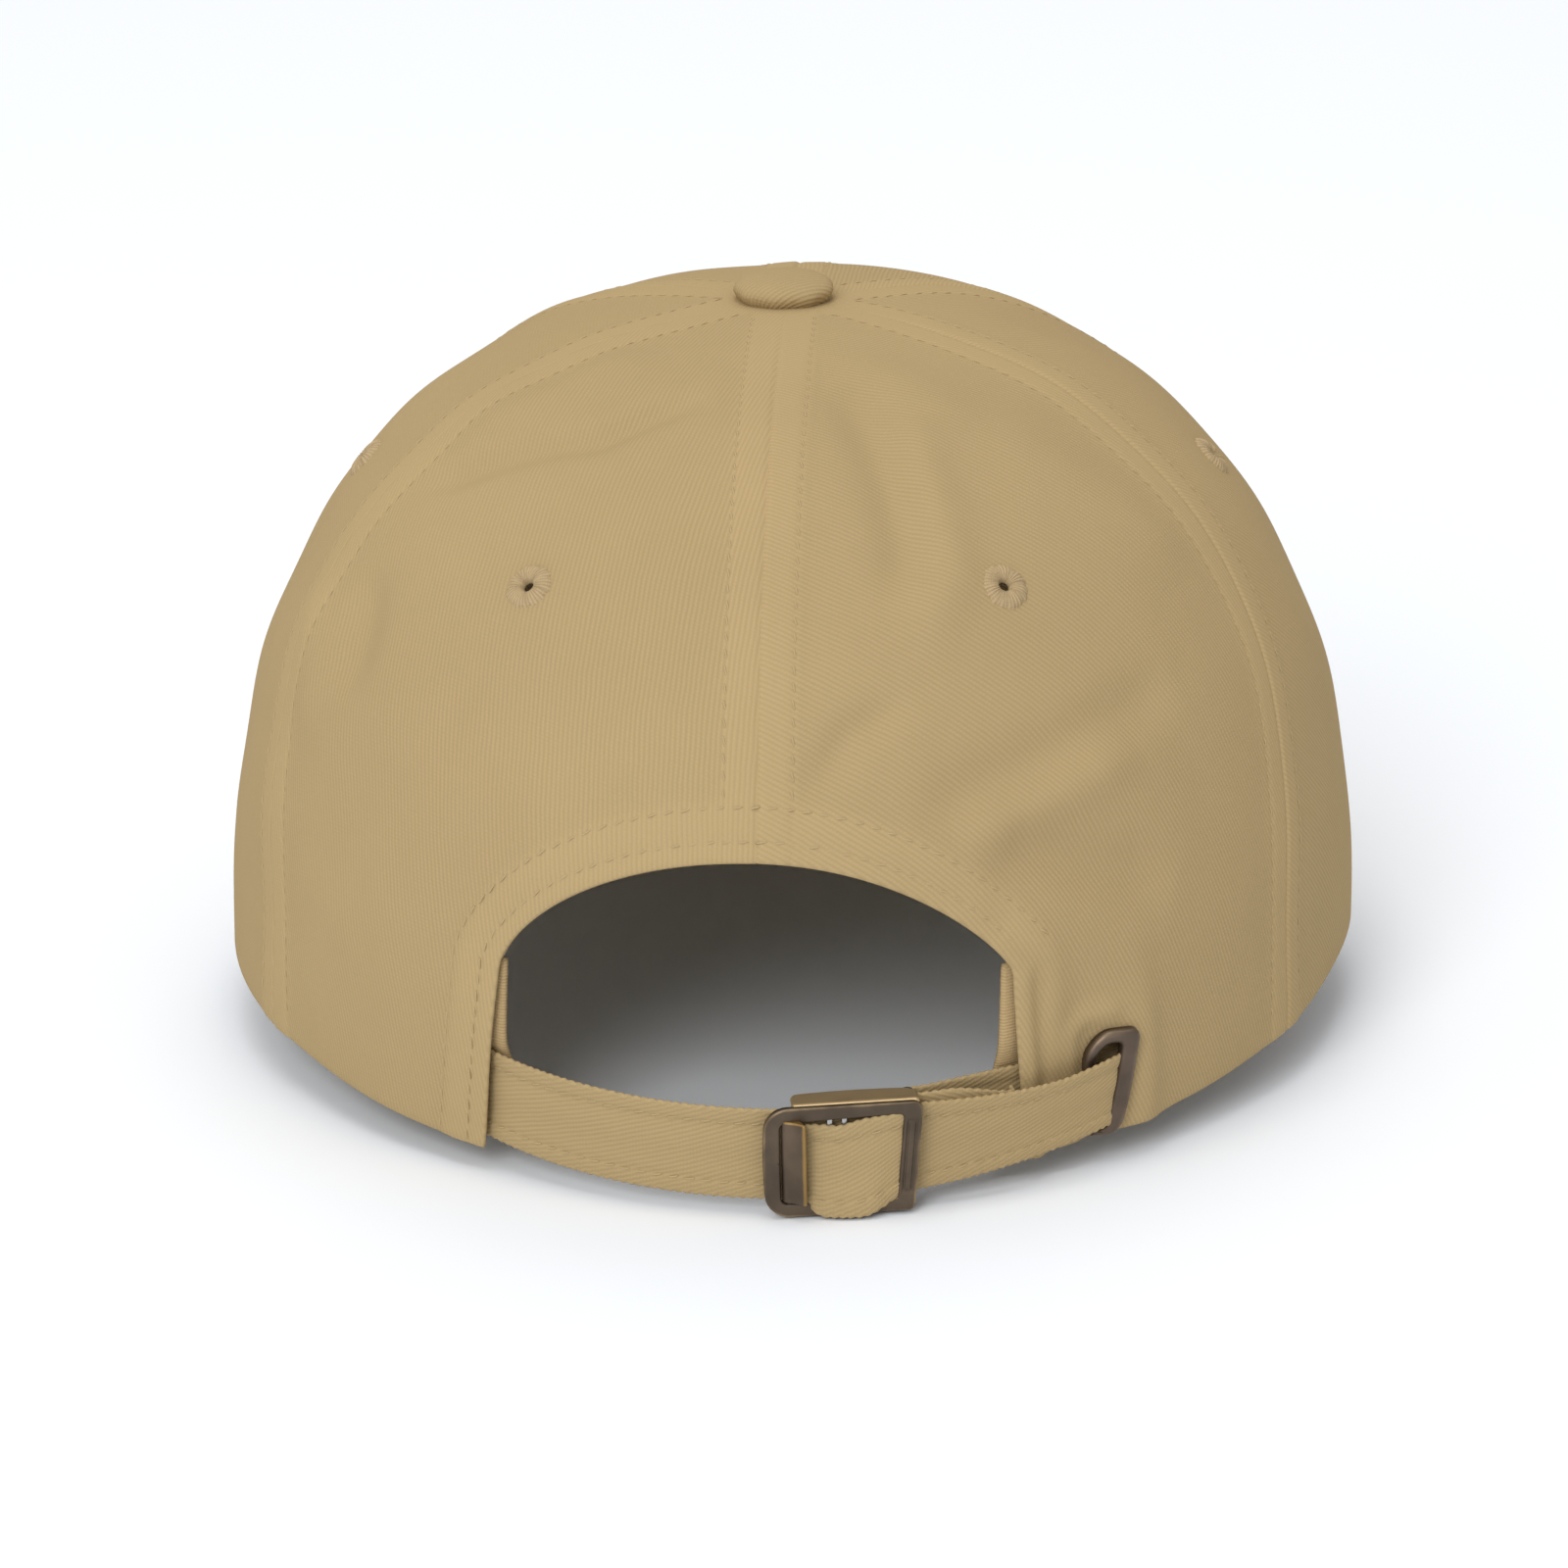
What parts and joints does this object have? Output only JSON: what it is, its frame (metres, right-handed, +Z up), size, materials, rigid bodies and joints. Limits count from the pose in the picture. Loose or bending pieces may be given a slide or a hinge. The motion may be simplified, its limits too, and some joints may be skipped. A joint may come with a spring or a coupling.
{
  "type": "baseball cap",
  "caption": "Soft unstructured six-panel cotton cap with a curved visor, a fabric-covered button, stitched eyelets and a rear strap held by a clamp buckle.",
  "frame": {"origin": "centre of the cap's box at the surface it stands on", "axes": "+Z up; +Y toward the back of the cap, the strap's side; -Y toward the visor; +X toward the wearer's left"},
  "size_m": [0.18, 0.269, 0.1165],
  "materials": {
    "twill": "khaki cotton twill, washed and matt",
    "tape": "plain woven cotton tape, matt",
    "thread": "dense radial embroidery stitches",
    "board": "flexible polyethylene sheet",
    "brass": "antique brass, dark with worn edges",
    "steel": "nickel-plated pressed steel"
  },
  "bodies": {
    "cap": {"panel_rear_right": "twill", "panel_side_right": "twill", "panel_front_right": "twill", "panel_front_left": "twill", "panel_side_left": "twill", "panel_rear_left": "twill", "eyelet_rear_right": "thread", "eyelet_side_right": "thread", "eyelet_front_right": "thread", "eyelet_front_left": "thread", "eyelet_side_left": "thread", "eyelet_rear_left": "thread", "seam_tape_rear": "tape", "seam_tape_rear_right": "tape", "seam_tape_front_right": "tape", "seam_tape_front": "tape", "seam_tape_front_left": "tape", "seam_tape_rear_left": "tape", "arch_facing": "tape", "sweatband": "twill", "button_cover": "twill", "button_shell": "steel", "button_rivet": "steel", "visor_cover_top": "twill", "visor_cover_bottom": "twill", "visor_board": "board", "strap_short": "twill", "strap_grommet": "brass", "buckle_frame": "brass", "buckle_lever_pin": "brass", "buckle_loop_pin": "brass", "buckle_back_plate": "steel"},
    "strap": {"strap_long": "twill"},
    "lever": {"buckle_lever": "brass"}
  },
  "joints": [
    {"name": "strap_slide", "type": "hinge", "parent": "cap", "child": "strap", "pos_m": [-0.0035, 0.06346, 0.00571], "axis": [0, 0.0576, 0.9983], "range_deg": [-5, 4]},
    {"name": "buckle_lever", "type": "hinge", "parent": "cap", "child": "lever", "pos_m": [-0.00447, 0.13164, 0.00929], "axis": [0, -0.0576, -0.9983], "range_deg": [0, 75]}
  ]
}
